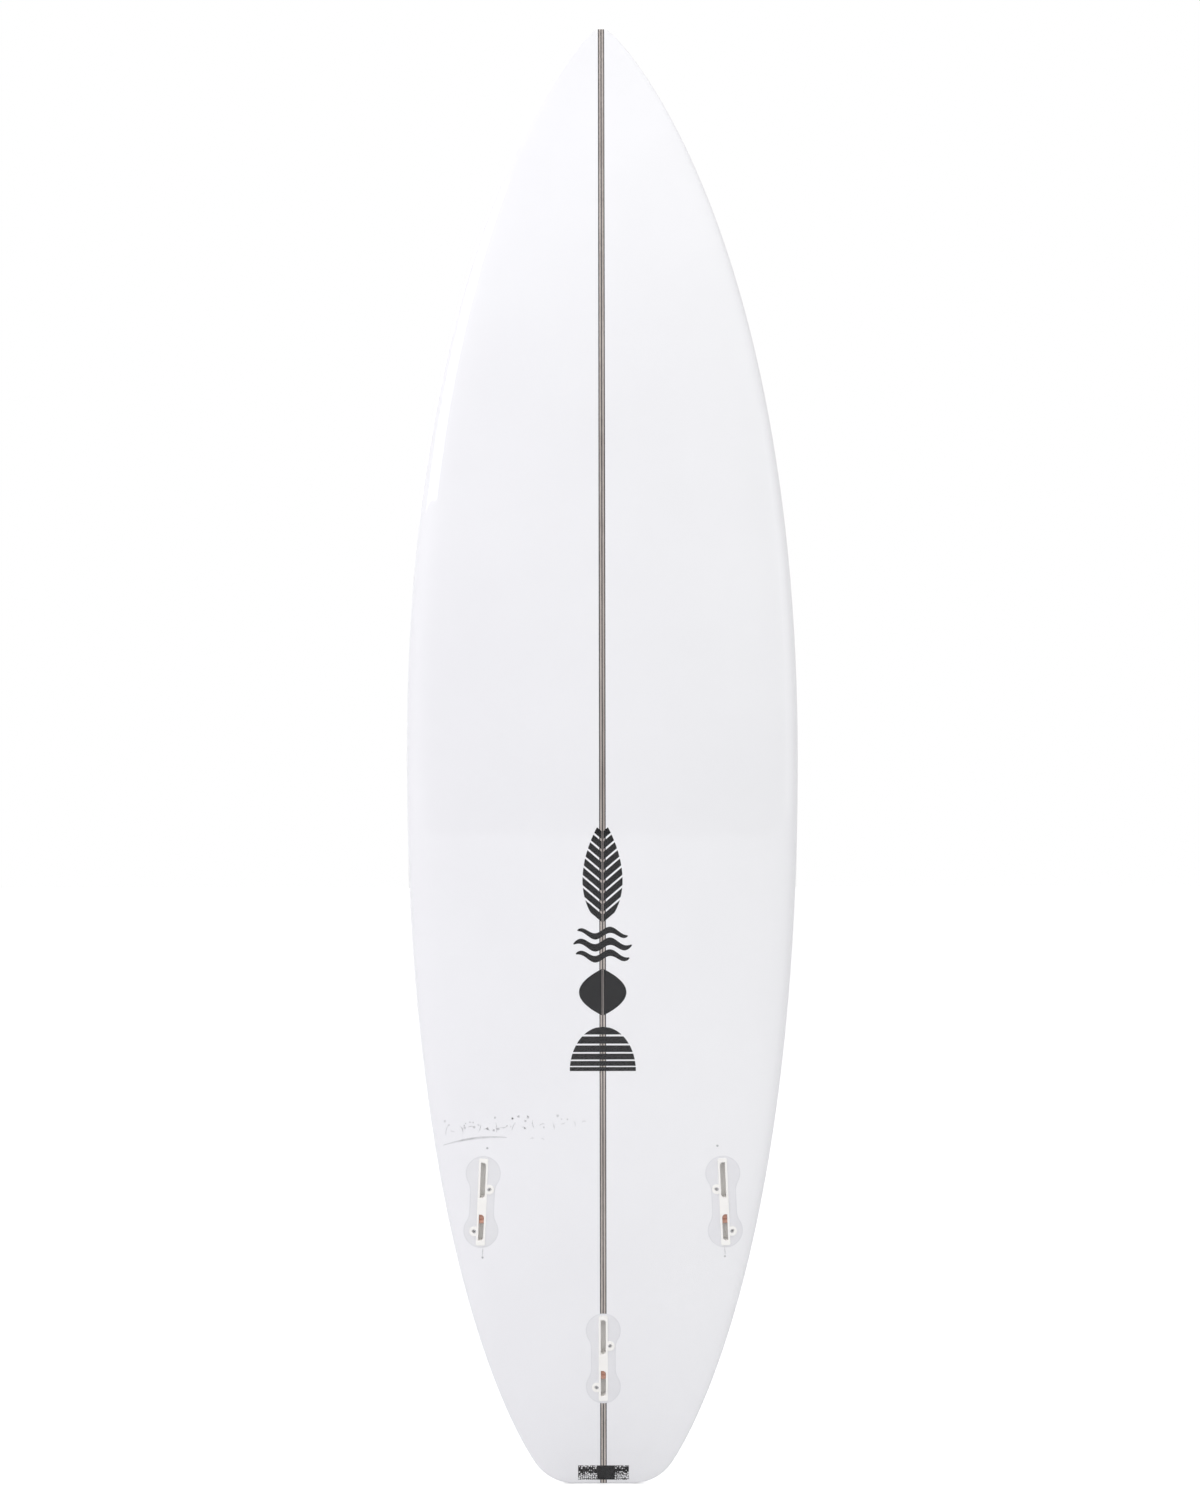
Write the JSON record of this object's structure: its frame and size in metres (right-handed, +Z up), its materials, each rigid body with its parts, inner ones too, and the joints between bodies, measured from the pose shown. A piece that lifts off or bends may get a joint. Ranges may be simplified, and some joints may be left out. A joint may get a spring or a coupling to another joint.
{
  "type": "surfboard",
  "caption": "Pointed-nose, square-tail shortboard with foam core, laminated stringer, clear glass skin and slotted fin plugs.",
  "frame": {"origin": "centre of the flat tail end, which the board stands on", "axes": "+Z up the stringer to the nose, +Y from the bottom to the deck, so the bottom faces -Y, and +X to the right of someone who looks at the bottom"},
  "size_m": [0.483, 0.1372, 1.829],
  "materials": {
    "foam": "matte closed-cell foam",
    "stringer_wood": "sanded plywood under clear resin",
    "glue": "dark glue line",
    "skin": "polished clear resin over glass cloth",
    "print": "black ink on rice paper under resin",
    "flange": "dense closed-cell foam",
    "resin": "cured milky resin",
    "frame": "satin glass-filled nylon, sanded flush",
    "roller": "satin acetal",
    "cushion": "soft orange elastomer",
    "screw": "stainless steel",
    "cup": "satin moulded plastic",
    "pin": "stainless steel"
  },
  "bodies": {
    "board": {"badge_print": "print", "bottom_laminate": "skin", "catch_cushion_centre": "cushion", "catch_cushion_left": "cushion", "catch_cushion_right": "cushion", "deck_laminate": "skin", "emblem_print": "print", "foam_left": "foam", "foam_right": "foam", "glue_line_centre": "glue", "glue_line_left": "glue", "glue_line_right": "glue", "label_print": "print", "leash_cup": "cup", "leash_pin": "pin", "plug_flange_centre": "flange", "plug_flange_left": "flange", "plug_flange_right": "flange", "plug_frame_centre": "frame", "plug_frame_left": "frame", "plug_frame_right": "frame", "resin_bed_centre": "resin", "resin_bed_leash": "resin", "resin_bed_left": "resin", "resin_bed_right": "resin", "stringer_ply_left": "stringer_wood", "stringer_ply_right": "stringer_wood"},
    "front_screw_left": {"front_screw_left": "screw"},
    "rear_screw_left": {"rear_screw_left": "screw"},
    "front_screw_right": {"front_screw_right": "screw"},
    "rear_screw_right": {"rear_screw_right": "screw"},
    "front_screw_centre": {"front_screw_centre": "screw"},
    "rear_screw_centre": {"rear_screw_centre": "screw"},
    "catch_roller_left": {"catch_roller_left": "roller"},
    "catch_roller_right": {"catch_roller_right": "roller"},
    "catch_roller_centre": {"catch_roller_centre": "roller"}
  },
  "joints": [
    {"name": "front_screw_left_travel", "type": "slide", "parent": "board", "child": "front_screw_left", "axis": [-0.4964, 0.8641, 0.0824], "range_m": [0, 0.0026]},
    {"name": "rear_screw_left_travel", "type": "slide", "parent": "board", "child": "rear_screw_left", "axis": [0.5025, 0.8638, 0.037], "range_m": [0, 0.0026]},
    {"name": "front_screw_right_travel", "type": "slide", "parent": "board", "child": "front_screw_right", "axis": [0.4964, 0.8641, 0.0824], "range_m": [0, 0.0026]},
    {"name": "rear_screw_right_travel", "type": "slide", "parent": "board", "child": "rear_screw_right", "axis": [-0.5025, 0.8638, 0.037], "range_m": [0, 0.0026]},
    {"name": "front_screw_centre_travel", "type": "slide", "parent": "board", "child": "front_screw_centre", "axis": [-0.5, 0.8605, 0.098], "range_m": [0, 0.0026]},
    {"name": "rear_screw_centre_travel", "type": "slide", "parent": "board", "child": "rear_screw_centre", "axis": [0.5, 0.8605, 0.098], "range_m": [0, 0.0026]},
    {"name": "catch_left_press", "type": "slide", "parent": "board", "child": "catch_roller_left", "axis": [0.0452, -0.069, 0.9966], "range_m": [0, 0.0016], "stiffness_N_per_m": 2000, "springref_m": -0.0005, "deforming": ["catch_cushion_left"]},
    {"name": "catch_right_press", "type": "slide", "parent": "board", "child": "catch_roller_right", "axis": [-0.0452, -0.069, 0.9966], "range_m": [0, 0.0016], "stiffness_N_per_m": 2000, "springref_m": -0.0005, "deforming": ["catch_cushion_right"]},
    {"name": "catch_centre_press", "type": "slide", "parent": "board", "child": "catch_roller_centre", "axis": [0, -0.1131, 0.9936], "range_m": [0, 0.0016], "stiffness_N_per_m": 2000, "springref_m": -0.0005, "deforming": ["catch_cushion_centre"]}
  ]
}
